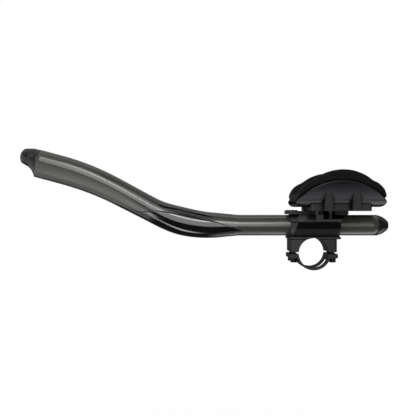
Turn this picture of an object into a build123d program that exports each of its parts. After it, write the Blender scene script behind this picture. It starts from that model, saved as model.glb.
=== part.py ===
from build123d import *
from math import asin, cos, radians, sin, tan
import os

# Aero bar extension for one forearm: bent tube, bracket for a round handlebar, padded arm cup.
# Millimetres. The origin is the centre of the handlebar bore.
# X runs rearward along the straight part of the tube, Y along the handlebar, Z up.

# Extension tube, straight part
tube_dia = 22.2
tube_wall = 1.8
tube_rear_x = 70.0
straight_front_x = -66.0
swell_start_x = -76.0
swell_x = -89.0
slide_clearance = 0.05

# Extension tube, bends, counted forward from the straight part
bend_start_x = -103.2
bend_radius = 150.0
slope_angle = 27.6
slope_length = 41.0
crown_radius = 300.0
grip_angle = 15.0
grip_length = 24.6

# Extension tube, depth and width of its section along the way
swell_depth = 24.2
bend_start_depth = 26.9
bend_depth = 30.2
slope_depth = 26.3
slope_end_depth = 27.4
crown_depth = 29.0
grip_depth = 30.0
bend_width = 23.4
grip_width = 24.0

# Section form: reach of each curve's handles, height of the crease, lean of the two sides at the crease
bend_form = 0.5
round_reach = 0.5523
full_reach = 0.68
round_crease = 0.5
bend_crease = 0.47
grip_crease = 0.43
upper_lean = 0.06
lower_lean = 0.17

# End plugs
plug_clearance = 0.3
spigot_length = 14.0
nose_length = 19.8
nose_dia = 20.5
nose_rise = 4.1
nose_neck_at = 4.4
nose_neck_depth = 24.0
nose_neck_width = 22.0
nose_neck_rise = 2.6
nose_round_at = 9.2
nose_shoulder_at = 17.6
nose_shoulder_dia = 15.2
nose_tip_dia = 8.6
dome_length = 12.3
dome_rim_step = 0.2
dome_tip_dia = 7.4
dome_mid_dia = 17.0
dome_mid_at = 6.9
dome_tip_round = 2.0

# Handlebar clamp
bar_dia = 31.8
clamp_width = 37.0
clamp_half_length = 24.4
clamp_corner = 2.0
clamp_edge = 0.6
split_gap = 2.0
strap_wall = 2.1
strap_band = 10.0
ear_height = 4.4
ear_proud = 1.2
strap_bolt_x = 20.5
strap_bolt_y = 12.0
strap_bolt_grip = 10.0

# Cradle of the extension, between the handlebar clamp and the arm cup
web = 2.0
sleeve_front_x = -23.5
sleeve_length = 52.0
sleeve_half_width = 19.5
sleeve_side_radius = 24.0
sleeve_side_lean = 10.0
lip_height = 2.6
lip_rise = 1.3
lip_proud = 0.7
lip_front = 1.6
bevel_length = 9.0
bevel_wall = 2.2
bevel_end_radius = 21.5
saddle_split_rise = 3.4
saddle_gap = 0.8
saddle_bolt_x = 15.7
saddle_bolt_inset = 4.9
saddle_bolt_grip = 5.0
saddle_run_out = 0.8
saddle_ear = 3.0
pocket_clearance = 0.4
pocket_reach = 4.2
scoop_foot = 2.0
scoop_lean = 0.53
rear_scoop_height = 4.4

# Armrest platform on top of the cradle
platform_wall = 4.2
platform_edge = 3.5
platform_half_width = 17.2
platform_front = 4.0
platform_rear = 7.6
platform_corner = 3.0
platform_hollow = 1.3
boss_length = 12.0
boss_half_width = 9.0
boss_rise = 1.0
boss_edge = 0.7
wedge_end_x = 2.0
wedge_run = 7.6
wedge_foot = 1.0

# Arm cup
cup_x = 24.8
cup_y = -4.0
cup_half_length = 45.9
cup_half_width = 40.0
cup_flare = 14.0
cup_corner = 20.0
cup_wall = 3.0
cup_crown = 27.0
cup_crown_shift = 2.0
cup_end_height = 6.2
cup_tip_radius = 5.0
cup_rim_radius = 0.9
cup_rim_play = 0.1
pedestal_height = 4.2
pedestal_half_length = 31.4
pedestal_half_width = 35.5
pedestal_top = 4.8
pedestal_skirt = 3.0
pedestal_spine = 16.0
rib_x = 14.2
rib_foot_width = 9.2
rib_top_width = 6.8
rib_shoulder = 12.0
rib_height = 15.5
rib_depth = 9.0
rib_reach = 44.0

# Cup screws and the rows of holes that set the cup fore and aft
cup_bolt_x = 3.0
cup_bolt_y = 10.5
cup_row_pitch = 14.0
cup_rows = 4
cup_bolt_grip = 5.0
cup_counterbore_depth = 4.8
cup_hole_play = 0.25

# Arm pad and the hook tape under it
pad_thickness = 8.5
pad_play = 0.2
pad_edge_play = 0.4
pad_end_inset = 0.2
pad_end_radius = 20.5
pad_shoulder = 27.4
pad_crown = 38.0
pad_crown_margin = 0.6
hook_thickness = 1.2
hook_width = 8.4
hook_corner = 2.2
hook_half_length = 30.0
hook_y = 20.0

# Screws and washers
m4 = dict(dia=4.0, head_dia=7.0, head_height=4.0, key=3.0, key_depth=2.0)
m5_low = dict(dia=5.0, head_dia=8.5, head_height=3.0, key=3.0, key_depth=1.6)
head_edge = 0.4
washer_margin = 0.3
washer_play = 0.2
strap_washer = 0.6
saddle_washer = 0.8
cup_washer = 0.8
thread_play = 0.05
thread_run_out = 1.5
spot_face_play = 0.3

# Worked out from the above
bar_r = bar_dia / 2
tube_r = tube_dia / 2
bore_r = tube_r + slide_clearance
tube_z = bar_r + web + bore_r
sleeve_rear_x = sleeve_front_x + sleeve_length
sleeve_mid_x = (sleeve_front_x + sleeve_rear_x) / 2
lip_z1 = bar_r + lip_rise
lip_z0 = lip_z1 - lip_height
split_z = tube_z + saddle_split_rise
saddle_bolt_y = sleeve_half_width - saddle_bolt_inset
platform_z = tube_z + bore_r + platform_wall
platform_x0 = sleeve_front_x - platform_front
platform_x1 = sleeve_rear_x + platform_rear
ear_z1 = -split_gap / 2
ear_z0 = ear_z1 - ear_height
cup_z = platform_z + pedestal_height
cup_floor = cup_z + cup_wall
pad_inset = cup_wall + hook_thickness + pad_play
pad_crown_radius = cup_half_length + pad_crown_margin
beyond = 4 * cup_half_width


# Simple bodies
def block(x0, x1, y0, y1, z0, z1):
    return Pos((x0 + x1) / 2, (y0 + y1) / 2, (z0 + z1) / 2) * Box(x1 - x0, y1 - y0, z1 - z0)


def slab(x0, x1, y0, y1, z0, z1, corner, foot_edge=0, top_edge=0):
    outline = Pos((x0 + x1) / 2, (y0 + y1) / 2, z0) * RectangleRounded(x1 - x0, y1 - y0, corner)
    plate = extrude(outline, amount=z1 - z0)
    if foot_edge:
        plate = fillet(plate.edges().group_by(Axis.Z)[0], foot_edge)
    if top_edge:
        plate = fillet(plate.edges().group_by(Axis.Z)[-1], top_edge)
    return plate


def upright(x, y, z0, z1, radius):
    return Pos(x, y, (z0 + z1) / 2) * Cylinder(radius, z1 - z0)


def along_x(x0, x1, radius):
    return Pos((x0 + x1) / 2, 0, tube_z) * Rot(0, 90, 0) * Cylinder(radius, x1 - x0)


def along_y(y0, y1, radius):
    return Pos(0, (y0 + y1) / 2, 0) * Rot(90, 0, 0) * Cylinder(radius, y1 - y0)


def side_view(face):
    """A face drawn in X and Z, run through the whole width."""
    return extrude(Plane.XZ * face, amount=beyond, both=True)


def end_view(face, x0, x1):
    """A face drawn in Y and Z, run from x0 to x1."""
    return extrude(Plane.YZ.offset(x0) * face, amount=x1 - x0)


def half_turn(shape):
    """The same shape on the other side of the cradle, end for end."""
    return Pos(sleeve_mid_x, 0, 0) * Rot(0, 0, 180) * Pos(-sleeve_mid_x, 0, 0) * shape


# Screws and washers
def screw(kind, x, y, seat, grip, up):
    """A socket screw. Its head stands on the seat, and its shank runs the other way."""
    head = extrude(Circle(kind["head_dia"] / 2), amount=kind["head_height"])
    head = fillet(head.edges().group_by(Axis.Z)[-1], head_edge)
    shank = extrude(Circle(kind["dia"] / 2), amount=-grip)
    socket = extrude(RegularPolygon(kind["key"] / 2, 6, major_radius=False), amount=kind["key_depth"])
    body = head + shank - Pos(0, 0, kind["head_height"] - kind["key_depth"]) * socket
    return Pos(x, y, seat) * Rot(0 if up else 180, 0, 0) * body


def washer(kind, x, y, z0, thickness):
    outer = upright(x, y, z0, z0 + thickness, kind["head_dia"] / 2 + washer_margin)
    return outer - upright(x, y, z0, z0 + thickness, kind["dia"] / 2 + washer_play)


def thread_hole(kind, x, y, z0, z1):
    return upright(x, y, z0, z1, kind["dia"] / 2 + thread_play)


# Extension tube
def tube_station(distance):
    """Place and forward angle of the tube's axis, by distance forward from the straight part's end."""
    x, z, angle = straight_front_x, tube_z, 0.0
    runs = [
        (straight_front_x - bend_start_x, None, 0.0),
        (bend_radius * radians(slope_angle), bend_radius, slope_angle),
        (slope_length, None, 0.0),
        (crown_radius * radians(slope_angle - grip_angle), -crown_radius, grip_angle - slope_angle),
        (grip_length, None, 0.0),
    ]
    for length, radius, turn in runs:
        part = min(distance, length)
        if radius is None:
            x -= part * cos(radians(angle))
            z += part * sin(radians(angle))
        else:
            after = angle + turn * part / length
            x -= radius * (sin(radians(after)) - sin(radians(angle)))
            z += radius * (cos(radians(angle)) - cos(radians(after)))
            angle = after
        distance -= part
    return x, z, angle


def tube_plane(distance, forward=0.0, rise=0.0):
    x, z, angle = tube_station(distance)
    ahead = Vector(-cos(radians(angle)), 0, sin(radians(angle)))
    above = Vector(sin(radians(angle)), 0, cos(radians(angle)))
    place = Vector(x, 0, z) + ahead * forward + above * rise
    return Plane(origin=place, x_dir=(0, -1, 0), z_dir=ahead)


def round_face(dia):
    """Section of the straight part, in four quarters like the other sections."""
    return make_face([
        CenterArc((0, 0), dia / 2, 0, 90),
        CenterArc((0, 0), dia / 2, 180, -90),
        CenterArc((0, 0), dia / 2, 0, -90),
        CenterArc((0, 0), dia / 2, 180, 90),
    ])


def tube_face(width, depth, crease, form):
    """Section of the tube. form runs from 0, round, to 1, the full grip section with its crease."""
    if form == 0 and width == depth:
        return round_face(width)
    half, top = width / 2, depth / 2
    side = top - crease * depth
    hand = round_reach + (full_reach - round_reach) * form
    quarters = []
    for end, lean in ((top, upper_lean * form), (-top, lower_lean * form)):
        rise = hand * (end - side)
        quarters.append([
            (half, side),
            (half - lean * abs(rise), side + rise),
            (hand * half, end),
            (0, end),
        ])
    edges = []
    for points in quarters:
        edges.append(Bezier(*points))
        edges.append(Bezier(*[(-x, y) for x, y in points]))
    return make_face(edges)


def tube_stations():
    """Distance forward, width, depth, crease height and form at each section of the bent part."""
    bend = bend_radius * radians(slope_angle)
    crown = crown_radius * radians(slope_angle - grip_angle)
    bend_at = straight_front_x - bend_start_x
    slope_at = bend_at + bend
    crown_at = slope_at + slope_length
    grip_at = crown_at + crown
    return [
        (0.0, tube_dia, tube_dia, round_crease, 0.0),
        (straight_front_x - swell_start_x, tube_dia, tube_dia, round_crease, 0.0),
        (straight_front_x - swell_x, tube_dia, swell_depth, round_crease, 0.0),
        (bend_at, tube_dia, bend_start_depth, round_crease, 0.0),
        (bend_at + bend / 2, bend_width, bend_depth, round_crease, 0.0),
        (slope_at, bend_width, slope_depth, bend_crease, bend_form),
        (crown_at, grip_width, slope_end_depth, grip_crease, 1.0),
        (crown_at + crown / 2, grip_width, crown_depth, grip_crease, 1.0),
        (grip_at, grip_width, grip_depth, grip_crease, 1.0),
        (grip_at + grip_length / 2, grip_width, grip_depth, grip_crease, 1.0),
        (grip_at + grip_length, grip_width, grip_depth, grip_crease, 1.0),
    ]


def tube_solid(inset):
    """The tube's outside, or its inside when inset is the wall."""
    faces = []
    for distance, width, depth, crease, form in tube_stations():
        faces.append(tube_plane(distance) * tube_face(width - 2 * inset, depth - 2 * inset, crease, form))
    return along_x(straight_front_x, tube_rear_x, tube_r - inset) + loft(faces)


def make_extension_tube():
    return tube_solid(0) - tube_solid(tube_wall)


def make_front_end_plug():
    end = tube_stations()[-1][0]
    sections = [
        (0.0, grip_width, grip_depth, 0.0, grip_crease, 1.0),
        (nose_neck_at, nose_neck_width, nose_neck_depth, nose_neck_rise, round_crease, 0.0),
        (nose_round_at, nose_dia, nose_dia, nose_rise, round_crease, 0.0),
        (nose_shoulder_at, nose_shoulder_dia, nose_shoulder_dia, nose_rise, round_crease, 0.0),
        (nose_length, nose_tip_dia, nose_tip_dia, nose_rise, round_crease, 0.0),
    ]
    faces = []
    for forward, width, depth, rise, crease, form in sections:
        faces.append(tube_plane(end, forward, rise) * tube_face(width, depth, crease, form))
    inset = 2 * (tube_wall + plug_clearance)
    spigot = tube_plane(end) * tube_face(grip_width - inset, grip_depth - inset, grip_crease, 1.0)
    return loft(faces) + extrude(spigot, amount=-spigot_length)


def make_rear_end_plug():
    rim = tube_r - dome_rim_step
    outline = make_face([
        Line((0, 0), (0, rim)),
        ThreePointArc((0, rim), (dome_mid_at, dome_mid_dia / 2), (dome_length, dome_tip_dia / 2)),
        Line((dome_length, dome_tip_dia / 2), (dome_length, 0)),
        Line((dome_length, 0), (0, 0)),
    ])
    dome = revolve(Plane.XZ * outline, axis=Axis.X)
    dome = fillet(dome.edges().group_by(Axis.X)[-1], dome_tip_round)
    spigot = along_x(tube_rear_x - spigot_length, tube_rear_x, tube_r - tube_wall - plug_clearance)
    return Pos(tube_rear_x, 0, tube_z) * dome + spigot


# Bracket
def sleeve_side_point(angle):
    """Point on the cradle's round side, which leans in from the split and turns under below it."""
    lean = radians(sleeve_side_lean)
    reach = sleeve_half_width - sleeve_side_radius * (cos(lean) - cos(angle))
    return reach, split_z - sleeve_side_radius * (sin(angle) - sin(lean))


def cradle_block():
    """Outside of the cradle and the armrest platform, before it is split and bored."""
    shelf = platform_z - platform_edge
    flare = ((sleeve_rear_x + platform_x1) / 2 - platform_hollow, (split_z + shelf) / 2)
    outline = make_face([
        Line((sleeve_front_x, lip_z0), (sleeve_front_x, platform_z)),
        Line((sleeve_front_x, platform_z), (platform_x1, platform_z)),
        Line((platform_x1, platform_z), (platform_x1, shelf)),
        ThreePointArc((platform_x1, shelf), flare, (sleeve_rear_x, split_z)),
        Line((sleeve_rear_x, split_z), (sleeve_rear_x, lip_z0)),
        Line((sleeve_rear_x, lip_z0), (sleeve_front_x, lip_z0)),
    ])
    lean = radians(sleeve_side_lean)
    turn = asin((split_z - lip_z0) / sleeve_side_radius + sin(lean))
    waist, foot = [sleeve_side_point(angle) for angle in ((lean + turn) / 2, turn)]
    left = [(-y, z) for y, z in (waist, foot)]
    section = make_face([
        Line(left[1], foot),
        ThreePointArc(foot, waist, (sleeve_half_width, split_z)),
        Line((sleeve_half_width, split_z), (sleeve_half_width, platform_z)),
        Line((sleeve_half_width, platform_z), (-sleeve_half_width, platform_z)),
        Line((-sleeve_half_width, platform_z), (-sleeve_half_width, split_z)),
        ThreePointArc((-sleeve_half_width, split_z), left[0], left[1]),
    ])
    solid = side_view(outline) & end_view(section, platform_x0, platform_x1)
    bevel_x = sleeve_front_x + bevel_length
    bevel = make_face(Polyline(
        (sleeve_front_x, 0),
        (sleeve_front_x, bore_r + bevel_wall),
        (bevel_x, bevel_end_radius),
        (bevel_x, clamp_width),
        (platform_x1, clamp_width),
        (platform_x1, 0),
        close=True,
    ))
    solid &= Pos(0, 0, tube_z) * revolve(Plane.XZ * bevel, axis=Axis.X)
    wedge = saddle_wedge()
    solid -= wedge
    solid -= half_turn(wedge)
    half = platform_half_width
    return solid + slab(platform_x0, platform_x1, -half, half, shelf, platform_z, platform_corner)


def saddle_wedge():
    """What is cut away beside the platform, so that the saddle slopes down to the split."""
    out = -sleeve_half_width - platform_corner
    foot = split_z + saddle_gap / 2 + wedge_foot
    shelf = platform_z - platform_edge
    top = platform_z + platform_edge
    slope = [
        (out, foot),
        (-sleeve_half_width, foot),
        (-platform_half_width, shelf),
        (-platform_half_width, top),
        (out, top),
    ]
    blunt = [(y - wedge_run, z + wedge_run / 2) for y, z in slope]
    run = end_view(make_face(Polyline(*slope, close=True)), -beyond, wedge_end_x)
    start = Plane.YZ.offset(wedge_end_x) * make_face(Polyline(*slope, close=True))
    end = Plane.YZ.offset(wedge_end_x + wedge_run) * make_face(Polyline(*blunt, close=True))
    return run + loft([start, end])


def saddle_screw_places():
    near = (sleeve_mid_x + saddle_bolt_x, -saddle_bolt_y)
    far = (sleeve_mid_x - saddle_bolt_x, saddle_bolt_y)
    return [near, far]


def strap_screw_places():
    return [(x, y) for x in (-strap_bolt_x, strap_bolt_x) for y in (-strap_bolt_y, strap_bolt_y)]


def cup_screw_places():
    return [(cup_bolt_x, -cup_bolt_y), (cup_bolt_x, cup_bolt_y)]


def make_clamp_body():
    top = split_z - saddle_gap / 2
    body = cradle_block() & block(-beyond, beyond, -beyond, beyond, lip_z0, top)
    half = clamp_width / 2
    lip = half + lip_proud
    length, edge = clamp_half_length, clamp_edge
    body += slab(-length - lip_front, sleeve_rear_x, -lip, lip, lip_z0, lip_z1, clamp_corner, edge, edge)
    body += slab(-length, length, -half, half, split_gap / 2, lip_z0, clamp_corner, edge)
    body -= along_y(-beyond, beyond, bar_r)
    body -= along_x(-beyond, beyond, bore_r)
    body -= block(-beyond, beyond, -bore_r, bore_r, tube_z, platform_z)
    for x, y in strap_screw_places():
        body -= thread_hole(m4, x, y, 0, split_gap / 2 + strap_bolt_grip + thread_run_out)
    for x, y in saddle_screw_places():
        body -= thread_hole(m4, x, y, top - saddle_bolt_grip - saddle_run_out, platform_z)
    return body


def saddle_seat():
    return split_z + saddle_gap / 2 + saddle_ear


def saddle_scoop(side, top):
    """Section of the hollow beside a screw's pocket, open to that side of the saddle."""
    foot = sleeve_half_width - scoop_foot
    back = foot - scoop_lean * (top - saddle_seat())
    return make_face(Polyline(
        (side * beyond, saddle_seat()),
        (side * foot, saddle_seat()),
        (side * back, top),
        (side * beyond, top),
        close=True,
    ))


def make_armrest_saddle():
    saddle = cradle_block() & block(-beyond, beyond, -beyond, beyond, split_z + saddle_gap / 2, platform_z)
    boss_x = platform_x0 + boss_length
    boss_top = platform_z + boss_rise
    shelf = platform_z - platform_edge
    half = boss_half_width
    saddle += slab(platform_x0, boss_x, -half, half, shelf, boss_top, platform_corner, 0, boss_edge)
    saddle -= along_x(-beyond, beyond, bore_r)
    pocket_r = m4["head_dia"] / 2 + washer_margin + pocket_clearance
    for x, y in saddle_screw_places():
        side = 1 if y > 0 else -1
        sides = sorted((y, y + side * beyond))
        saddle -= upright(x, y, saddle_seat(), platform_z, pocket_r)
        saddle -= block(x - pocket_r, x + pocket_r, *sides, saddle_seat(), platform_z)
        saddle -= end_view(saddle_scoop(side, platform_z), *sorted((x, x + side * (pocket_r + pocket_reach))))
        low_top = saddle_seat() + rear_scoop_height
        saddle -= end_view(saddle_scoop(side, low_top), *sorted((x, x - side * beyond)))
        saddle -= thread_hole(m4, x, y, split_z, platform_z)
    for x, y in cup_screw_places():
        saddle -= thread_hole(m5_low, x, y, tube_z, platform_z)
    return saddle


def make_bar_clamp_strap():
    half = clamp_width / 2
    ring_r = bar_r + strap_wall
    ring = along_y(-half, half, ring_r)
    ring = fillet(ring.edges().filter_by(GeomType.CIRCLE), clamp_edge)
    strap = ring & block(-beyond, beyond, -half, half, -beyond, ear_z1)
    ear = clamp_half_length + ear_proud
    strap += slab(-ear, ear, -half, half, ear_z0, ear_z1, clamp_corner, clamp_edge, clamp_edge)
    strap -= along_y(-half, half, bar_r)
    window = half - strap_band
    strap -= block(-ring_r, ring_r, -window, window, -beyond, ear_z0)
    for x, y in strap_screw_places():
        strap -= thread_hole(m4, x, y, ear_z0, ear_z1)
        strap -= upright(x, y, -ring_r, ear_z0, m4["head_dia"] / 2 + washer_margin + spot_face_play)
    return strap


# Arm cup and pad
def trough(inset):
    """The space inside the cup's outer skin, or inside a skin set in from it, with an open top."""
    lean = radians(cup_flare)
    floor = cup_z + inset
    top = cup_z + pad_crown + cup_wall
    low = cup_half_width + inset * tan(lean) - inset / cos(lean)
    high = low + (top - floor) * tan(lean)
    outline = make_face(Polyline((-high, top), (-low, floor), (low, floor), (high, top), close=True))
    corners = outline.vertices().group_by(Axis.Y)[0]
    outline = fillet(corners, cup_corner - inset)
    return Pos(0, cup_y, 0) * end_view(outline, -beyond, beyond)


def cup_outline(grow):
    """Side view of the cup, an arch between two square tips."""
    half = cup_half_length + grow
    shoulder = cup_z + cup_end_height + grow
    crown = cup_z + cup_crown + grow
    arch = ThreePointArc((cup_x - half, shoulder), (cup_x + cup_crown_shift, crown), (cup_x + half, shoulder))
    return make_face([
        Line((cup_x - half, cup_z - grow), (cup_x - half, shoulder)),
        arch,
        Line((cup_x + half, shoulder), (cup_x + half, cup_z - grow)),
        Line((cup_x + half, cup_z - grow), (cup_x - half, cup_z - grow)),
    ])


def pad_outline():
    """Side view of the pad: round ends, and a higher arch over the middle."""
    length = 2 * (cup_half_length - pad_end_inset)
    ends = Pos(cup_x, cup_z + pad_shoulder / 2) * Rectangle(length, pad_shoulder)
    ends = fillet(ends.vertices().group_by(Axis.Y)[-1], pad_end_radius)
    arch = Pos(cup_x, cup_z + pad_crown - pad_crown_radius) * Circle(pad_crown_radius)
    arch_foot = cup_z + pad_shoulder - pad_end_radius
    above = Pos(cup_x, arch_foot + beyond / 2) * Rectangle(beyond, beyond)
    return side_view(ends) + side_view(arch & above)


def cup_ribs():
    foot, shoulder = rib_foot_width / 2, rib_top_width / 2
    shoulder_z = cup_z + rib_shoulder
    rib = make_face([
        Line((-foot, platform_z), (foot, platform_z)),
        Line((foot, platform_z), (shoulder, shoulder_z)),
        ThreePointArc((shoulder, shoulder_z), (0, cup_z + rib_height), (-shoulder, shoulder_z)),
        Line((-shoulder, shoulder_z), (-foot, platform_z)),
    ])
    outer = cup_y - rib_reach
    inner = cup_y - cup_half_width + rib_depth
    near = block(-beyond, beyond, outer, inner, platform_z, beyond) & side_view(rib)
    ribs = Part()
    for x in (cup_x - rib_x, cup_x + rib_x):
        ribs += Pos(x, 0, 0) * near
        ribs += Pos(x, 2 * cup_y, 0) * Rot(0, 0, 180) * near
    return ribs


def cup_pedestal():
    x0, x1 = cup_x - pedestal_half_length, cup_x + pedestal_half_length
    y0, y1 = cup_y - pedestal_half_width, cup_y + pedestal_half_width
    foot = slab(x0, x1, y0, y1, platform_z, cup_z + pedestal_top, clamp_corner, clamp_edge)
    x0, x1 = x0 + pedestal_skirt, x1 - pedestal_skirt
    foot -= block(x0, x1, y0 + pedestal_skirt, -pedestal_spine, platform_z, cup_z)
    foot -= block(x0, x1, pedestal_spine, y1 - pedestal_skirt, platform_z, cup_z)
    return foot


def make_arm_cup():
    inside = trough(cup_wall)
    outline = cup_outline(0)
    cup = trough(0) & side_view(fillet(outline.vertices().group_by(Axis.Y)[0], cup_tip_radius))
    cup -= inside
    rim_foot = cup_z + cup_end_height - cup_rim_play
    rim = cup.edges().filter_by(lambda edge: edge.bounding_box().min.Z > rim_foot)
    cup = fillet(rim.filter_by(GeomType.LINE, reverse=True), cup_rim_radius)
    cup += cup_pedestal()
    cup += cup_ribs()
    cup -= inside
    counterbore_r = m5_low["head_dia"] / 2 + washer_margin + pocket_clearance
    seat = cup_floor - cup_counterbore_depth
    for row in range(cup_rows):
        for x, y in cup_screw_places():
            x += row * cup_row_pitch
            cup -= upright(x, y, platform_z, cup_floor, m5_low["dia"] / 2 + cup_hole_play)
            cup -= upright(x, y, seat, cup_floor, counterbore_r)
    return cup


def make_arm_pad():
    pad = trough(0) - trough(pad_inset + pad_thickness)
    pad &= pad_outline()
    return pad - (side_view(cup_outline(pad_edge_play)) - trough(pad_inset))


def make_hook_strips():
    strips = Part()
    for y in (cup_y - hook_y, cup_y + hook_y):
        x0, x1 = cup_x - hook_half_length, cup_x + hook_half_length
        y0, y1 = y - hook_width / 2, y + hook_width / 2
        strips += slab(x0, x1, y0, y1, cup_floor, cup_floor + hook_thickness, hook_corner)
    return strips


# Fasteners, in groups of like pieces
def make_strap_bolts():
    seat = ear_z0 - strap_washer
    grip = strap_bolt_grip + split_gap + ear_height + strap_washer
    return Part() + [screw(m4, x, y, seat, grip, False) for x, y in strap_screw_places()]


def make_strap_washers():
    return Part() + [washer(m4, x, y, ear_z0 - strap_washer, strap_washer) for x, y in strap_screw_places()]


def make_saddle_bolts():
    seat = saddle_seat() + saddle_washer
    grip = saddle_bolt_grip + saddle_gap + saddle_ear + saddle_washer
    return Part() + [screw(m4, x, y, seat, grip, True) for x, y in saddle_screw_places()]


def make_saddle_washers():
    return Part() + [washer(m4, x, y, saddle_seat(), saddle_washer) for x, y in saddle_screw_places()]


def make_cup_bolts():
    seat = cup_floor - cup_counterbore_depth + cup_washer
    grip = cup_bolt_grip + seat - platform_z
    return Part() + [screw(m5_low, x, y, seat, grip, True) for x, y in cup_screw_places()]


def make_cup_washers():
    seat = cup_floor - cup_counterbore_depth
    return Part() + [washer(m5_low, x, y, seat, cup_washer) for x, y in cup_screw_places()]


makers = {
    "extension_tube": make_extension_tube,
    "front_end_plug": make_front_end_plug,
    "rear_end_plug": make_rear_end_plug,
    "clamp_body": make_clamp_body,
    "armrest_saddle": make_armrest_saddle,
    "saddle_bolts": make_saddle_bolts,
    "saddle_washers": make_saddle_washers,
    "bar_clamp_strap": make_bar_clamp_strap,
    "strap_bolts": make_strap_bolts,
    "strap_washers": make_strap_washers,
    "arm_cup": make_arm_cup,
    "cup_bolts": make_cup_bolts,
    "cup_washers": make_cup_washers,
    "arm_pad": make_arm_pad,
    "hook_strips": make_hook_strips,
}

os.makedirs("parts", exist_ok=True)
for node, maker in makers.items():
    export_step(maker(), f"parts/{node}.step")
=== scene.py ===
import math

import bmesh
import bpy
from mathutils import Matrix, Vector
from mathutils.bvhtree import BVHTree


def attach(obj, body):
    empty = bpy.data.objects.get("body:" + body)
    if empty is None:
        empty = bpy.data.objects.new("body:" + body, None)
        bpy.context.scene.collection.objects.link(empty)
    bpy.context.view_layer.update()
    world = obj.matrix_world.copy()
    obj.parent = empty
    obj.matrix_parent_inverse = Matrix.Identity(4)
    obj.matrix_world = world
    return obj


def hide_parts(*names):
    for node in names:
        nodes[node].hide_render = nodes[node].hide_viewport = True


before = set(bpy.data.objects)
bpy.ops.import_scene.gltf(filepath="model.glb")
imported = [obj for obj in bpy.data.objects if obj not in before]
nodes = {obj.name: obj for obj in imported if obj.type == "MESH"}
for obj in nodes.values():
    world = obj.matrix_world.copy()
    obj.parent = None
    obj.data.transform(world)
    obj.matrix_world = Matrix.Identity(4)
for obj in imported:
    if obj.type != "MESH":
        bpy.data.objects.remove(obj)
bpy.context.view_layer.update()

# Looks of an aero bar extension: satin carbon tube, rubber plugs, black bracket, arm cup and foam pad.
# Sizes are millimetres, as in the part's source, and MM turns them into Blender's metres.
MM = 0.001

# Tube, as in the part's source
TUBE_DIA = 22.2
TUBE_Z = 29.05
TUBE_WALL = 1.8
TUBE_REAR_X = 70.0
STRAIGHT_FRONT_X = -66.0
BEND_START_X = -103.2
BEND_RADIUS = 150.0
SLOPE_ANGLE = 27.6
SLOPE_LENGTH = 41.0
CROWN_RADIUS = 300.0
GRIP_ANGLE = 15.0
GRIP_LENGTH = 24.6

# Lengths along the tube's axis, forward from the front end of the straight part
BEND_AT = STRAIGHT_FRONT_X - BEND_START_X
BEND_END = BEND_AT + BEND_RADIUS * math.radians(SLOPE_ANGLE)
SLOPE_END = BEND_END + SLOPE_LENGTH
GRIP_AT = SLOPE_END + CROWN_RADIUS * math.radians(SLOPE_ANGLE - GRIP_ANGLE)
TUBE_END = GRIP_AT + GRIP_LENGTH
TUBE_START = STRAIGHT_FRONT_X - TUBE_REAR_X

# Sections: distance forward, width, depth, height of the crease, form from 0, round, to 1, creased
SECTIONS = [
    (TUBE_START, 22.2, 22.2, 0.5, 0.0),
    (0.0, 22.2, 22.2, 0.5, 0.0),
    (10.0, 22.2, 22.2, 0.5, 0.0),
    (23.0, 22.2, 24.2, 0.5, 0.0),
    (BEND_AT, 22.2, 26.9, 0.5, 0.0),
    ((BEND_AT + BEND_END) / 2, 23.4, 30.2, 0.5, 0.0),
    (BEND_END, 23.4, 26.3, 0.47, 0.5),
    (SLOPE_END, 24.0, 27.4, 0.43, 1.0),
    ((SLOPE_END + GRIP_AT) / 2, 24.0, 29.0, 0.43, 1.0),
    (GRIP_AT, 24.0, 30.0, 0.43, 1.0),
    (TUBE_END, 24.0, 30.0, 0.43, 1.0),
]
# Reach of a section's curve handles, round and creased, and how far its creased sides lean in
ROUND_REACH = 0.5523
FULL_REACH = 0.68
UPPER_LEAN = 0.06
LOWER_LEAN = 0.17
# Steps between the rings of the mesh, and how near, in metres, the points of its closing rings are
STRAIGHT_STEP = 6.0
BEND_STEP = 2.5
MERGE_DISTANCE = 1e-7

# Front plug: forward of the tube's end, width, depth, rise, height of the crease, form
NOSE = [
    (0.0, 24.0, 30.0, 0.0, 0.43, 1.0),
    (4.4, 22.0, 24.0, 2.6, 0.5, 0.0),
    (9.2, 20.5, 20.5, 4.1, 0.5, 0.0),
    (17.6, 15.2, 15.2, 4.1, 0.5, 0.0),
    (19.8, 8.6, 8.6, 4.1, 0.5, 0.0),
]
# Moulded lines around the nose, by their distance forward
NOSE_LINES = (0.9, 9.0)
LINE_HALF_WIDTH = 0.7
LINE_DEPTH = 0.3
NOSE_STEP = 0.3
SPIGOT_LENGTH = 14.0
PLUG_INSET = 2.1


# Curves through tables of numbers
def slopes(xs, ys):
    """Slope at each point for a curve that doesn't overshoot its points."""
    steps = [(y1 - y0) / (x1 - x0) for x0, x1, y0, y1 in zip(xs, xs[1:], ys, ys[1:])]
    inner = [2 * a * b / (a + b) if a * b > 0 else 0.0 for a, b in zip(steps, steps[1:])]
    return [steps[0], *inner, steps[-1]]


def curve(rows):
    """Smooth function of the rows' first column that gives the other columns."""
    columns = list(zip(*rows))
    xs = columns[0]
    tracks = [(ys, slopes(xs, ys)) for ys in columns[1:]]

    def value(x):
        x = min(max(x, xs[0]), xs[-1])
        i = max(k for k in range(len(xs) - 1) if xs[k] <= x)
        step = xs[i + 1] - xs[i]
        t = (x - xs[i]) / step
        found = []
        for ys, ms in tracks:
            a = (1 + 2 * t) * (1 - t) ** 2 * ys[i] + t * (1 - t) ** 2 * step * ms[i]
            b = t * t * (3 - 2 * t) * ys[i + 1] + t * t * (t - 1) * step * ms[i + 1]
            found.append(a + b)
        return found

    return value


section_at = curve(SECTIONS)
nose_at = curve(NOSE)


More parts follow.
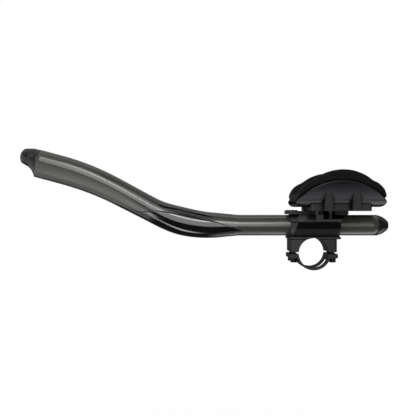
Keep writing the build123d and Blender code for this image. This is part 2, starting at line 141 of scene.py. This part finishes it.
# Tube surface
def axis_at(distance):
    """Place and forward angle of the tube's axis."""
    x, z, angle = STRAIGHT_FRONT_X, TUBE_Z, 0.0
    if distance <= 0:
        return x - distance, z, angle
    bend, crown = math.radians(SLOPE_ANGLE), math.radians(SLOPE_ANGLE - GRIP_ANGLE)
    runs = [
        (BEND_AT, None, 0.0),
        (BEND_RADIUS * bend, BEND_RADIUS, bend),
        (SLOPE_LENGTH, None, 0.0),
        (CROWN_RADIUS * crown, -CROWN_RADIUS, -crown),
        (GRIP_LENGTH, None, 0.0),
    ]
    for length, radius, turn in runs:
        part = min(distance, length)
        if radius is None:
            x -= part * math.cos(angle)
            z += part * math.sin(angle)
        else:
            after = angle + turn * part / length
            x -= radius * (math.sin(after) - math.sin(angle))
            z += radius * (math.cos(angle) - math.cos(after))
            angle = after
        distance -= part
    return x, z, angle


def section_point(width, depth, crease, form, v):
    """Half of a section: v runs from -1 at the foot, over 0 at the crease, to 1 at the top."""
    half, top = width / 2, depth / 2
    side = top - crease * depth
    hand = ROUND_REACH + (FULL_REACH - ROUND_REACH) * form
    end, lean = (top, UPPER_LEAN * form) if v >= 0 else (-top, LOWER_LEAN * form)
    t = abs(v)
    rise = hand * (end - side)
    handles = [(half, side), (half - lean * abs(rise), side + rise), (hand * half, end), (0.0, end)]
    weights = [(1 - t) ** 3, 3 * t * (1 - t) ** 2, 3 * t * t * (1 - t), t ** 3]
    out = sum(w * h[0] for w, h in zip(weights, handles))
    up = sum(w * h[1] for w, h in zip(weights, handles))
    return out, up


def placed(distance, forward, rise, side, up):
    """Point beside the tube's axis: side is along Y, up is square to the axis."""
    x, z, angle = axis_at(distance)
    up += rise
    x += -forward * math.cos(angle) + up * math.sin(angle)
    z += forward * math.sin(angle) + up * math.cos(angle)
    return Vector((x, side, z)) * MM


# Places round a section, closer together at the crease
QUARTER = [0.0, 0.02, 0.05, 0.09, 0.14, 0.2, 0.27, 0.35, 0.43, 0.52, 0.61, 0.7, 0.8, 0.9]
HALF_TURN = [-1.0] + [-v for v in reversed(QUARTER)] + QUARTER[1:] + [1.0]
TURN = [(-1, v) for v in HALF_TURN] + [(1, v) for v in reversed(HALF_TURN[1:-1])]


def tube_ring(distance, inset=0.0, forward=0.0, rise=0.0, section=None):
    """Points round the tube, or round a section of its own, at a distance along the axis."""
    width, depth, crease, form = section or section_at(distance)
    ring = []
    for hand, v in TURN:
        out, up = section_point(width - 2 * inset, depth - 2 * inset, crease, form, v)
        ring.append(placed(distance, forward, rise, hand * out, up))
    return ring


# Meshes
def new_piece(name, bm, body, *materials):
    """Object made of bm, smooth shaded, that rides on a body."""
    bmesh.ops.recalc_face_normals(bm, faces=bm.faces)
    mesh = bpy.data.meshes.new(name)
    bm.to_mesh(mesh)
    bm.free()
    mesh.shade_smooth()
    for material in materials:
        mesh.materials.append(material)
    piece = bpy.data.objects.new(name, mesh)
    bpy.context.scene.collection.objects.link(piece)
    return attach(piece, body)


def skin(bm, rings, closed_end=False):
    """Quads between rings of equal count. A closed end is a fan to the last ring's middle."""
    rows = [[bm.verts.new(p) for p in ring] for ring in rings]
    for row, following in zip(rows, rows[1:]):
        count = len(row)
        for i in range(count):
            j = (i + 1) % count
            bm.faces.new((row[i], row[j], following[j], following[i]))
    if closed_end:
        last = rows[-1]
        middle = bm.verts.new(sum((v.co for v in last), Vector()) / len(last))
        for i, corner in enumerate(last):
            bm.faces.new((corner, last[(i + 1) % len(last)], middle))
    return rows


def steps(start, end, size):
    """Even steps from start to end, none longer than size."""
    count = max(1, math.ceil(abs(end - start) / size))
    return [start + (end - start) * i / count for i in range(count + 1)]


# Materials
def new_material(name, **values):
    """Material with values for its shader's sockets. Gives back its node tree and shader too."""
    material = bpy.data.materials.new(name)
    material.use_nodes = True
    shader = material.node_tree.nodes["Principled BSDF"]
    for socket, value in values.items():
        shader.inputs[socket.replace("_", " ").title().replace("Ior", "IOR")].default_value = value
    return material, material.node_tree, shader


def add(tree, kind, **values):
    """Node of a kind, with values for its sockets, or for its settings where it has no such socket."""
    node = tree.nodes.new("ShaderNode" + kind)
    for key, value in values.items():
        socket = node.inputs.get(key.replace("_", " ").title())
        if socket is not None:
            socket.default_value = value
        else:
            setattr(node, key, value)
    return node


def grain(tree, scale, detail=3.0, stretch=(1, 1, 1), source="Object"):
    """Noise in the piece's own space. Its scale is in waves for each metre."""
    place = add(tree, "TexCoord")
    mapping = add(tree, "Mapping", scale=stretch)
    tree.links.new(place.outputs[source], mapping.inputs["Vector"])
    noise = add(tree, "TexNoise", scale=scale, detail=detail, roughness=0.55)
    tree.links.new(mapping.outputs["Vector"], noise.inputs["Vector"])
    return noise.outputs["Fac"]


def between_values(tree, fac, low, high, start=0.3, end=0.7):
    """Number that goes from low to high as fac goes from start to end."""
    node = add(tree, "MapRange")
    for socket, value in zip(("From Min", "From Max", "To Min", "To Max"), (start, end, low, high)):
        node.inputs[socket].default_value = value
    tree.links.new(fac, node.inputs["Value"])
    return node.outputs["Result"]


def by_height(tree, z, low, high, start_mm, end_mm):
    """Number that goes from low to high between two heights."""
    return between_values(tree, z, low, high, start_mm * MM, end_mm * MM)


def between_colours(tree, fac, low, high, start=0.3, end=0.7):
    """Colour that goes from low to high as fac goes from start to end."""
    ramp = add(tree, "ValToRGB")
    ramp.color_ramp.elements[0].position = start
    ramp.color_ramp.elements[1].position = end
    ramp.color_ramp.elements[0].color = (*low, 1)
    ramp.color_ramp.elements[1].color = (*high, 1)
    tree.links.new(fac, ramp.inputs["Fac"])
    return ramp.outputs["Color"]


def mixed(tree, mask, under, over):
    """Colour under, with the plain colour over where the mask is 1."""
    node = add(tree, "Mix", data_type="RGBA")
    tree.links.new(mask, node.inputs[0])
    tree.links.new(under, node.inputs[6])
    node.inputs[7].default_value = (*over, 1)
    return node.outputs[2]


def product(tree, first, second):
    node = add(tree, "Math", operation="MULTIPLY")
    tree.links.new(first, node.inputs[0])
    tree.links.new(second, node.inputs[1])
    return node.outputs["Value"]


def separated(tree, vector):
    node = add(tree, "SeparateXYZ")
    tree.links.new(vector, node.inputs["Vector"])
    return node


def uneven_roughness(tree, shader, scale, low, high):
    """Roughness that goes from low to high with a noise."""
    tree.links.new(between_values(tree, grain(tree, scale), low, high), shader.inputs["Roughness"])


def cells(tree, **values):
    """Distance from the middle of small cells in the piece's own space."""
    node = add(tree, "TexVoronoi", **values)
    tree.links.new(add(tree, "TexCoord").outputs["Object"], node.inputs["Vector"])
    return node.outputs["Distance"]


# How far the eased and the real normal agree, on an edge and on a face
ON_EDGE = 0.8
ON_FACE = 0.97


def worn_edges(tree, radius_mm, patches):
    """1 along the piece's edges, where the patches are, and 0 on its faces."""
    eased = add(tree, "Bevel", radius=radius_mm * MM)
    flat = add(tree, "NewGeometry")
    both = add(tree, "VectorMath", operation="DOT_PRODUCT")
    tree.links.new(eased.outputs["Normal"], both.inputs[0])
    tree.links.new(flat.outputs["Normal"], both.inputs[1])
    edges = between_values(tree, both.outputs["Value"], 1.0, 0.0, ON_EDGE, ON_FACE)
    return product(tree, edges, patches)


def bumped(tree, shader, height, depth_mm, strength=1.0, edge_mm=0.0):
    """Relief on the piece. Its edges look rounded to edge_mm."""
    bump = add(tree, "Bump", strength=strength, distance=depth_mm * MM)
    tree.links.new(height, bump.inputs["Height"])
    if edge_mm:
        eased = add(tree, "Bevel", radius=edge_mm * MM)
        tree.links.new(eased.outputs["Normal"], bump.inputs["Normal"])
    tree.links.new(bump.outputs["Normal"], shader.inputs["Normal"])


# What the ambient occlusion node gives in a crease and on an open face
IN_CREASE = 0.5
IN_OPEN = 0.97
CREASE_SAMPLES = 8


def painted_crease_shade(tree, shader, level, reach_mm):
    """Shine of the given level, which fades in the creases and corners as painted shade.

    Gives back how open the surface is, from 0 to 1. The socket's own value is for an export, which drops
    the link.
    """
    hidden = add(tree, "AmbientOcclusion", distance=reach_mm * MM, samples=CREASE_SAMPLES)
    open_share = between_values(tree, hidden.outputs["AO"], 0.0, 1.0, IN_CREASE, IN_OPEN)
    shine = shader.inputs["Specular IOR Level"]
    shine.default_value = level
    tree.links.new(between_values(tree, open_share, 0.0, level, 0.0, 1.0), shine)
    return open_share


def carbon_material():
    """Satin clear coat over fine carbon: thin streaks along the tube and a dull speckle."""
    material, tree, shader = new_material("satin_carbon", specular_ior_level=0.5)
    streaks = grain(tree, 1.0, 4.0, (120, 2600, 1), "UV")
    colour = between_colours(tree, streaks, (0.034, 0.034, 0.0305), (0.046, 0.046, 0.0415))
    tree.links.new(colour, shader.inputs["Base Color"])
    uneven_roughness(tree, shader, 900.0, 0.17, 0.23)
    bumped(tree, shader, grain(tree, 2600.0, 2.0), 0.0005)
    return material


def rubber_material():
    """Moulded rubber with a slight sheen, scuffed paler in places."""
    material, tree, shader = new_material("plug_rubber", specular_ior_level=0.36)
    colour = between_colours(tree, grain(tree, 160.0), (0.004, 0.004, 0.0052), (0.008, 0.008, 0.0097))
    scuffs = between_values(tree, grain(tree, 320.0, 5.0), 0.0, 0.5, 0.6, 0.72)
    tree.links.new(mixed(tree, scuffs, colour, (0.02, 0.02, 0.022)), shader.inputs["Base Color"])
    uneven_roughness(tree, shader, 500.0, 0.27, 0.37)
    bumped(tree, shader, grain(tree, 3500.0, 2.0), 0.004, edge_mm=0.4)
    return material


# Heights on the bracket. The cradle's side and the platform are smoother than the rest by POLISH, and the
# foot of the cradle's side has painted reflected light, which makes it paler.
CRADLE_FOOT = 17.4
CRADLE_TOP = 32.2
PLATFORM_FOOT = 40.2
CRADLE_FOOT_BLEND = 0.5
POLISH_BLEND = 0.4
POLISH = 0.18
PAINTED_LIGHT_FROM = 19.0
PAINTED_LIGHT_TO = 26.5


def alloy_material():
    """Black anodised forging: blasted, polished on the cradle and the platform, worn to paler metal in
    places along its edges, and paler at the foot of the cradle's side with painted reflected light."""
    material, tree, shader = new_material("black_alloy")
    # Painted shade: the shine fades in creases and corners
    painted_crease_shade(tree, shader, 0.28, 2.5)
    z = separated(tree, add(tree, "TexCoord").outputs["Object"]).outputs["Z"]
    above = by_height(tree, z, 0.0, 1.0, CRADLE_FOOT, CRADLE_FOOT + CRADLE_FOOT_BLEND)
    below = by_height(tree, z, 1.0, 0.0, CRADLE_TOP, CRADLE_TOP + POLISH_BLEND)
    platform = by_height(tree, z, 0.0, 1.0, PLATFORM_FOOT, PLATFORM_FOOT + POLISH_BLEND)
    painted_light = by_height(tree, z, 1.0, 0.0, PAINTED_LIGHT_FROM, PAINTED_LIGHT_TO)

    colour = between_colours(tree, grain(tree, 90.0), (0.0015, 0.0015, 0.0016), (0.003, 0.003, 0.0031))
    # Painted reflected light: paler at the foot of the cradle's side
    colour = mixed(tree, product(tree, above, painted_light), colour, (0.042, 0.042, 0.043))
    wear = worn_edges(tree, 0.35, between_values(tree, grain(tree, 240.0, 4.0), 0.0, 0.7, 0.45, 0.65))
    tree.links.new(mixed(tree, wear, colour, (0.05, 0.05, 0.052)), shader.inputs["Base Color"])

    polished = add(tree, "Math", operation="ADD", use_clamp=True)
    tree.links.new(product(tree, above, below), polished.inputs[0])
    tree.links.new(platform, polished.inputs[1])
    smoother = add(tree, "Math", operation="MULTIPLY_ADD")
    tree.links.new(polished.outputs["Value"], smoother.inputs[0])
    smoother.inputs[1].default_value = -POLISH
    tree.links.new(between_values(tree, grain(tree, 700.0), 0.27, 0.34), smoother.inputs[2])
    tree.links.new(smoother.outputs["Value"], shader.inputs["Roughness"])
    bumped(tree, shader, grain(tree, 4200.0, 2.0), 0.001, edge_mm=0.5)
    return material


def steel_material():
    """Black oxide screws, rubbed bright where the key goes."""
    material, tree, shader = new_material("black_steel", metallic=1.0)
    colour = between_colours(tree, grain(tree, 300.0), (0.008, 0.008, 0.0082), (0.016, 0.016, 0.0165))
    wear = worn_edges(tree, 0.2, between_values(tree, grain(tree, 700.0), 0.1, 0.8))
    tree.links.new(mixed(tree, wear, colour, (0.16, 0.16, 0.16)), shader.inputs["Base Color"])
    uneven_roughness(tree, shader, 1200.0, 0.25, 0.36)
    bumped(tree, shader, grain(tree, 3000.0, 2.0), 0.002, edge_mm=0.2)
    return material


# Heights on the cup's wall, which is painted paler from its rim down to its foot as painted reflected light,
# and the upward part of its normal where it leans and where it is upright
WALL_RIM = 73.0
WALL_FOOT = 58.0
WALL_END = 54.0
WALL_LEANING = -0.28
WALL_UPRIGHT = -0.12


def painted_light_on_wall(tree, colour, open_share):
    """Colour that goes paler down the leaning wall as painted reflected light, and not in its creases."""
    z = separated(tree, add(tree, "TexCoord").outputs["Object"]).outputs["Z"]
    lean = separated(tree, add(tree, "NewGeometry").outputs["Normal"]).outputs["Z"]
    down = by_height(tree, z, 1.0, 0.0, WALL_FOOT, WALL_RIM)
    kept = by_height(tree, z, 0.0, 1.0, WALL_END, WALL_FOOT)
    leaning = between_values(tree, lean, 1.0, 0.0, WALL_LEANING, WALL_UPRIGHT)
    mask = product(tree, product(tree, down, kept), product(tree, leaning, open_share))
    return mixed(tree, mask, colour, (0.05, 0.0485, 0.054))


def cup_material():
    """Moulded nylon with a fine spark-eroded grain, rubbed along its rim, with painted light down its wall
    and painted shade in creases.
    """
    material, tree, shader = new_material("cup_plastic")
    # Painted shade: the shine fades in creases and corners
    open_share = painted_crease_shade(tree, shader, 0.23, 5.0)
    colour = between_colours(tree, grain(tree, 60.0), (0.0045, 0.0043, 0.0055), (0.0075, 0.0072, 0.0088))
    # Painted reflected light, paler down the leaning wall
    colour = painted_light_on_wall(tree, colour, open_share)
    wear = worn_edges(tree, 0.4, between_values(tree, grain(tree, 180.0, 4.0), 0.0, 0.6, 0.42, 0.66))
    tree.links.new(mixed(tree, wear, colour, (0.03, 0.029, 0.033)), shader.inputs["Base Color"])
    uneven_roughness(tree, shader, 900.0, 0.2, 0.27)
    bumped(tree, shader, grain(tree, 2600.0, 3.0), 0.002, edge_mm=0.5)
    return material


def fabric_material():
    """Foam faced with a fine black knit."""
    material, tree, shader = new_material(
        "pad_fabric", specular_ior_level=0.1, sheen_weight=0.02, sheen_roughness=0.4)
    colour = between_colours(tree, grain(tree, 220.0), (0.003, 0.003, 0.0032), (0.005, 0.005, 0.0053))
    tree.links.new(colour, shader.inputs["Base Color"])
    uneven_roughness(tree, shader, 500.0, 0.7, 0.85)
    bumped(tree, shader, cells(tree, scale=1300.0), 0.2, 0.6)
    return material


def hook_material():
    """Hook tape: rows of stiff nylon hooks on a woven back."""
    material, tree, shader = new_material("hook_tape", specular_ior_level=0.3)
    hooks = cells(tree, scale=1100.0, randomness=0.35)
    colour = between_colours(tree, hooks, (0.02, 0.02, 0.021), (0.004, 0.004, 0.004))
    tree.links.new(colour, shader.inputs["Base Color"])
    uneven_roughness(tree, shader, 700.0, 0.45, 0.65)
    bumped(tree, shader, hooks, 0.5, 0.8)
    return material


def stripe_material():
    """Gloss black lacquer with a faint ripple and fine wiping marks."""
    material, tree, shader = new_material("gloss_stripe", specular_ior_level=0.5)
    colour = between_colours(tree, grain(tree, 200.0), (0.001, 0.001, 0.001), (0.003, 0.003, 0.003))
    tree.links.new(colour, shader.inputs["Base Color"])
    uneven_roughness(tree, shader, 600.0, 0.07, 0.12)
    bumped(tree, shader, grain(tree, 300.0, 2.0), 0.002)
    return material


carbon = carbon_material()
rubber = rubber_material()
alloy = alloy_material()
steel = steel_material()
plastic = cup_material()
fabric = fabric_material()
hook_tape = hook_material()
gloss_black = stripe_material()

FINISHES = {
    "rear_end_plug": rubber,
    "clamp_body": alloy,
    "armrest_saddle": alloy,
    "bar_clamp_strap": alloy,
    "saddle_bolts": steel,
    "saddle_washers": steel,
    "strap_bolts": steel,
    "strap_washers": steel,
    "cup_bolts": steel,
    "cup_washers": steel,
    "arm_cup": plastic,
    "hook_strips": hook_tape,
}
for node, finish in FINISHES.items():
    nodes[node].data.materials.clear()
    nodes[node].data.materials.append(finish)


# Tube and front plug
def make_tube():
    bm = bmesh.new()
    places = steps(TUBE_START, 0.0, STRAIGHT_STEP)[:-1] + steps(0.0, TUBE_END, BEND_STEP)
    outside = [tube_ring(d) for d in places]
    inside = [tube_ring(d, TUBE_WALL) for d in reversed(places)]
    rings = outside + inside
    rows = skin(bm, rings + [rings[0]])
    for first, last in zip(rows[0], rows[-1]):
        last.co = first.co
    bmesh.ops.remove_doubles(bm, verts=rows[0] + rows[-1], dist=MERGE_DISTANCE)
    uv = bm.loops.layers.uv.new("along_and_round")
    bm.faces.ensure_lookup_table()
    count = len(TURN)
    lengths = places + list(reversed(places)) + places[:1]
    for index, face in enumerate(bm.faces):
        row, column = divmod(index, count)
        corners = [(row, column), (row, column + 1), (row + 1, column + 1), (row + 1, column)]
        for loop, (r, c) in zip(face.loops, corners):
            loop[uv].uv = (lengths[r] * MM, c / count * TUBE_DIA * math.pi * MM)
    return new_piece("tube_skin", bm, "extension", carbon)


def make_nose():
    bm = bmesh.new()
    rings = [tube_ring(TUBE_END, PLUG_INSET, -SPIGOT_LENGTH), tube_ring(TUBE_END, PLUG_INSET)]
    for forward in steps(0.0, NOSE[-1][0], NOSE_STEP):
        width, depth, rise, crease, form = nose_at(forward)
        nearest = min(abs(forward - line) for line in NOSE_LINES)
        inset = LINE_DEPTH * max(0.0, 1.0 - nearest / LINE_HALF_WIDTH)
        rings.append(tube_ring(TUBE_END, inset, forward, rise, (width, depth, crease, form)))
    skin(bm, rings, closed_end=True)
    return new_piece("nose_plug", bm, "extension", rubber)


tube = make_tube()
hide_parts("extension_tube")
nose = make_nose()
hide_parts("front_end_plug")

# Gloss black stripes on the bend, the same on both sides. Each row has the distance forward along the tube
# and the heights of the stripe's two edges, from -1 at the foot to 1 at the top.
STRIPES = {
    "stripe_broad": [
        (8.0, -0.36, -0.35), (24.0, -0.62, -0.02), (46.0, -0.86, 0.28), (72.0, -0.88, 0.37),
        (98.0, -0.86, 0.14), (122.0, -0.82, -0.42), (150.0, -0.72, -0.71),
    ],
    "stripe_thin": [
        (34.0, 0.38, 0.39), (52.0, 0.42, 0.58), (74.0, 0.48, 0.66), (96.0, 0.34, 0.48), (122.0, 0.06, 0.07),
    ],
}
STRIPE_PROUD = 0.05
STRIPE_DEPTH = 0.25
STRIPE_STEP = 2.0
STRIPE_ROWS = 12


def stripe_point(distance, v, hand, lift):
    """Point on the tube's near or far side, lifted off its surface."""
    width, depth, crease, form = section_at(distance)
    out, up = section_point(width + 2 * lift, depth + 2 * lift, crease, form, v)
    return placed(distance, 0.0, 0.0, hand * out, up)


def make_stripe(name, edges, hand):
    """Thin blade of lacquer, let into the tube's wall and just proud of it."""
    bm = bmesh.new()
    rings = []
    edges_at = curve(edges)
    for distance in steps(edges[0][0], edges[-1][0], STRIPE_STEP):
        low, high = edges_at(distance)
        heights = steps(low, high, (high - low) / STRIPE_ROWS)
        ring = [stripe_point(distance, v, hand, STRIPE_PROUD) for v in heights]
        ring += [stripe_point(distance, v, hand, -STRIPE_DEPTH) for v in reversed(heights)]
        rings.append(ring)
    rows = skin(bm, rings)
    for row in (rows[0], rows[-1]):
        bm.faces.new(row)
    return new_piece(name, bm, "extension", gloss_black)


for name, edges in STRIPES.items():
    for side, hand in (("near", -1), ("far", 1)):
        stripe = make_stripe(f"{name}_{side}", edges, hand)

# Arm pad
PAD_VOXEL = 1.5
PAD_SMOOTHING = 6
PAD_FRAMES = 20
PAD_PRESSURE = 4.0
PAD_SWELL = 1.3
PAD_HELD = 2.0
PAD_FREE = 6.0
CUP_X = 24.8
CUP_Y = -4.0
PAD_ROUND_Z = 96.0
GROOVE_ANGLES = (-44.0, -22.0, 0.0, 22.0, 44.0)
GROOVE_HALF_WIDTH = 2.0
GROOVE_DEPTH = 0.9
GROOVE_HALF_LENGTH = 34.0
GROOVE_FADE = 9.0
GROOVE_FACING = (0.5, 0.9)


def applied(piece):
    """Gives the piece the mesh that its modifiers make, and takes them off."""
    shape = bpy.data.meshes.new_from_object(piece.evaluated_get(bpy.context.evaluated_depsgraph_get()))
    piece.modifiers.clear()
    piece.data = shape


def smooth_step(low, high, value):
    t = min(max((value - low) / (high - low), 0.0), 1.0)
    return t * t * (3 - 2 * t)


def swell(piece, looseness):
    """Fills the piece like foam under a cover. Points move by their looseness, and PAD_SWELL at most."""
    start = [v.co.copy() for v in piece.data.vertices]
    held = piece.vertex_groups.new(name="held")
    for i, loose in enumerate(looseness):
        held.add([i], 1 - loose, "REPLACE")
    cloth = piece.modifiers.new("swell", "CLOTH")
    cloth.settings.vertex_group_mass = "held"
    cloth.settings.use_pressure = True
    cloth.settings.uniform_pressure_force = PAD_PRESSURE
    cloth.settings.effector_weights.gravity = 0
    cloth.point_cache.frame_end = PAD_FRAMES
    scene = bpy.context.scene
    for frame_number in range(1, PAD_FRAMES + 1):
        scene.frame_set(frame_number)
    applied(piece)
    scene.frame_set(1)
    for v, before, loose in zip(piece.data.vertices, start, looseness):
        move = (v.co - before) * loose
        if move.length > PAD_SWELL * MM:
            move = move.normalized() * PAD_SWELL * MM
        v.co = before + move
    piece.vertex_groups.clear()


def press_grooves(mesh):
    """Shallow moulded channels along the side that the forearm lies on."""
    for v in mesh.vertices:
        x, y, z = v.co / MM
        inward = Vector((0, CUP_Y - y, PAD_ROUND_Z - z)).normalized()
        facing = smooth_step(*GROOVE_FACING, v.normal.dot(inward))
        if facing == 0:
            continue
        angle = math.degrees(math.atan2(y - CUP_Y, PAD_ROUND_Z - z))
        radius = math.hypot(y - CUP_Y, PAD_ROUND_Z - z)
        ends = 1 - smooth_step(GROOVE_HALF_LENGTH - GROOVE_FADE, GROOVE_HALF_LENGTH, abs(x - CUP_X))
        for at in GROOVE_ANGLES:
            off = abs(math.radians(angle - at)) * radius / GROOVE_HALF_WIDTH
            if off < 1:
                v.co -= v.normal * GROOVE_DEPTH * MM * (1 - smooth_step(0.0, 1.0, off)) * facing * ends


def make_pad():
    piece = bpy.data.objects.new("pad_cushion", nodes["arm_pad"].data.copy())
    bpy.context.scene.collection.objects.link(piece)
    even = piece.modifiers.new("even", "REMESH")
    even.mode = "VOXEL"
    even.voxel_size = PAD_VOXEL * MM
    ease = piece.modifiers.new("ease", "SMOOTH")
    ease.iterations = PAD_SMOOTHING
    applied(piece)
    cup_mesh = nodes["arm_cup"].data
    cup = BVHTree.FromPolygons([v.co for v in cup_mesh.vertices], [p.vertices for p in cup_mesh.polygons])
    gaps = [cup.find_nearest(v.co)[3] / MM for v in piece.data.vertices]
    looseness = [smooth_step(PAD_HELD, PAD_FREE, gap) for gap in gaps]
    swell(piece, looseness)
    finer = piece.modifiers.new("finer", "SUBSURF")
    finer.levels = 1
    applied(piece)
    press_grooves(piece.data)
    piece.data.shade_smooth()
    piece.data.materials.clear()
    piece.data.materials.append(fabric)
    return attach(piece, "bracket")


pad = make_pad()
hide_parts("arm_pad")

# Floor, light and camera
FLOOR_Z = -300.0
FLOOR_SIZE = 12.0
FLOOR_PARTS = 8
WHITE = (1, 1, 1, 1)
CAMERA_PLACE = (-111.3, -737.0, 47.55)
CAMERA_LENS = 59.2
SENSOR_WIDTH = 36.0

# Lights that only reflections show, in a dark tent round the bar. Each one is a curved panel on a drum about
# the X axis, and each is nearer than the one before it. Its rows have X in metres, the angles of its two
# edges, 0 in front, 90 above and -90 below, and its brightness there. Tent and drum are in metres too.
LIGHTS = {
    "key": [
        (-0.75, 22, 34, 1.0), (-0.5, 14, 40, 5.0), (-0.34, -10, 41, 4.6), (-0.15, -11, 43, 4.4),
        (0.0, -12, 32, 4.4), (0.12, -12, 34, 4.2), (0.17, 16, 46, 3.6), (0.3, 20, 50, 3.0),
        (0.4, 22, 48, 0.5),
    ],
    "rear_key": [(0.34, -8, 10, 0.2), (0.39, -14, 13, 2.4), (0.6, -14, 13, 2.4), (0.8, -14, 13, 0.6)],
    "key_edge": [
        (-0.5, 30, 36, 6.0), (-0.22, 30, 37, 14.0), (-0.1, 23, 31, 18.0), (0.03, 18, 25, 18.0),
        (0.1, 16, 24, 6.0),
    ],
    "low_strip": [
        (-0.88, -38, -24, 6.0), (-0.7, -54, -42, 7.0), (-0.5, -67, -53, 10.0), (-0.3, -70, -58, 7.0),
        (-0.12, -71, -64, 0.5),
    ],
    "left_fill": [
        (-2.5, -105, 4, 1.3), (-1.05, -100, 4, 1.5), (-0.96, -60, 0, 1.7), (-0.84, -52, -6, 1.6),
        (-0.7, -20, -12, 1.2),
    ],
    "left_low": [
        (-0.92, -46, -37, 3.5), (-0.82, -41, -27, 5.4), (-0.74, -37, -20, 7.5), (-0.66, -32, -18, 5.5),
        (-0.58, -24, -15, 2.0),
    ],
    "top": [
        (-2.5, 86, 110, 1.2), (-0.1, 86, 110, 1.3), (0.08, 88, 108, 1.9), (0.25, 88, 108, 0.9),
        (2.5, 88, 108, 0.9),
    ],
    "upper_left": [(-2.5, 50, 86, 0.8), (-0.12, 50, 86, 0.8), (0.05, 56, 86, 0.3)],
    "floor_edge": [
        (-0.1, -86, -68, 0.2), (0.1, -88, -62, 0.9), (0.17, -88, -64, 0.4), (0.3, -88, -64, 0.4),
        (0.36, -88, -62, 0.9), (2.5, -88, -62, 0.9),
    ],
    "floor_strip": [(-0.1, -116, -86, 0.3), (0.1, -118, -88, 2.8), (2.5, -118, -88, 2.8)],
    "back": [(-2.5, 118, 150, 0.6), (2.5, 118, 150, 0.6)],
}
TENT_LEVEL = 0.08
TENT_LEFT_LEVEL = 1.6
TENT_RADIUS = 1.6
TENT_HALF_LENGTH = 2.6
LIGHT_RADIUS = 1.5
LIGHT_LAYER = 0.004
LIGHT_AXIS_Z = 0.045
LIGHT_STEP = 4.0


def make_floor():
    """Plain pale floor under the object."""
    bm = bmesh.new()
    bmesh.ops.create_grid(bm, x_segments=FLOOR_PARTS, y_segments=FLOOR_PARTS, size=FLOOR_SIZE)
    mesh = bpy.data.meshes.new("floor")
    bm.to_mesh(mesh)
    bm.free()
    material, _, _ = new_material("pale_floor", base_color=WHITE, roughness=1.0, specular_ior_level=0.0)
    mesh.materials.append(material)
    floor = bpy.data.objects.new("floor", mesh)
    floor.location = (0, 0, FLOOR_Z * MM)
    floor.visible_glossy = False
    bpy.context.scene.collection.objects.link(floor)


def drum_point(x, degrees, radius):
    """Point on a drum about the lights' axis."""
    angle = math.radians(degrees)
    return Vector((x, -radius * math.cos(angle), LIGHT_AXIS_Z + radius * math.sin(angle)))


def light_material(levels):
    """Glow that follows X through a row of levels."""
    material = bpy.data.materials.new("light")
    material.use_nodes = True
    tree = material.node_tree
    tree.nodes.remove(tree.nodes["Principled BSDF"])
    brightest = max(level for _, level in levels)
    glow = add(tree, "Emission", strength=brightest)
    x_place = separated(tree, add(tree, "TexCoord").outputs["Object"]).outputs["X"]
    along = between_values(tree, x_place, 0.0, 1.0, -TENT_HALF_LENGTH, TENT_HALF_LENGTH)
    ramp = add(tree, "ValToRGB")
    tree.links.new(along, ramp.inputs["Fac"])
    stops = ramp.color_ramp.elements
    while len(stops) < len(levels):
        stops.new(0.5)
    while len(stops) > len(levels):
        stops.remove(stops[-1])
    for stop, (x, level) in zip(stops, levels):
        stop.position = (x + TENT_HALF_LENGTH) / (2 * TENT_HALF_LENGTH)
        stop.color = (level / brightest, level / brightest, level / brightest, 1)
    tree.links.new(ramp.outputs["Color"], glow.inputs["Color"])
    tree.links.new(glow.outputs["Emission"], tree.nodes["Material Output"].inputs["Surface"])
    return material


def make_light(name, rows, levels):
    """Glowing sheet through rows of points, that only reflections show."""
    bm = bmesh.new()
    rows = [[bm.verts.new(point) for point in row] for row in rows]
    for row, following in zip(rows, rows[1:]):
        for i in range(len(row) - 1):
            bm.faces.new((row[i], row[i + 1], following[i + 1], following[i]))
    mesh = bpy.data.meshes.new(name)
    bm.to_mesh(mesh)
    bm.free()
    mesh.materials.append(light_material(levels))
    light = bpy.data.objects.new(name, mesh)
    for ray in ("camera", "diffuse", "transmission", "shadow"):
        setattr(light, "visible_" + ray, False)
    bpy.context.scene.collection.objects.link(light)


def make_lights():
    """The tent, its two ends and the panels in it."""
    ends = (-TENT_HALF_LENGTH, TENT_HALF_LENGTH)
    around = steps(-180, 180, LIGHT_STEP)
    make_light("tent", [[drum_point(x, a, TENT_RADIUS) for a in around] for x in ends], [(0.0, TENT_LEVEL)])
    sides = (-TENT_RADIUS, TENT_RADIUS)
    for name, x, level in (("tent_left", ends[0], TENT_LEFT_LEVEL), ("tent_right", ends[1], TENT_LEVEL)):
        make_light(name, [[Vector((x, y, z)) for y in sides] for z in sides], [(0.0, level)])
    for number, (name, stations) in enumerate(LIGHTS.items()):
        radius = LIGHT_RADIUS - LIGHT_LAYER * number
        parts = max(math.ceil((high - low) / LIGHT_STEP) for _, low, high, _ in stations)
        rows = []
        for x, low, high, _ in stations:
            rows.append([drum_point(x, low + (high - low) * i / parts, radius) for i in range(parts + 1)])
        make_light(name, rows, [(x, level) for x, _, _, level in stations])


def make_studio():
    """White room, which lights the object evenly, with the lights for reflections in it."""
    world = bpy.data.worlds.new("studio")
    bpy.context.scene.world = world
    world.use_nodes = True
    world.node_tree.nodes["Background"].inputs["Color"].default_value = WHITE
    make_lights()


make_floor()
make_studio()

camera_data = bpy.data.cameras.new("camera")
camera_data.lens = CAMERA_LENS
camera_data.sensor_width = SENSOR_WIDTH
camera = bpy.data.objects.new("camera", camera_data)
camera.location = Vector(CAMERA_PLACE) * MM
camera.rotation_euler = (math.radians(90), 0, 0)
bpy.context.scene.collection.objects.link(camera)
bpy.context.scene.camera = camera
bpy.context.scene.view_settings.view_transform = "Standard"
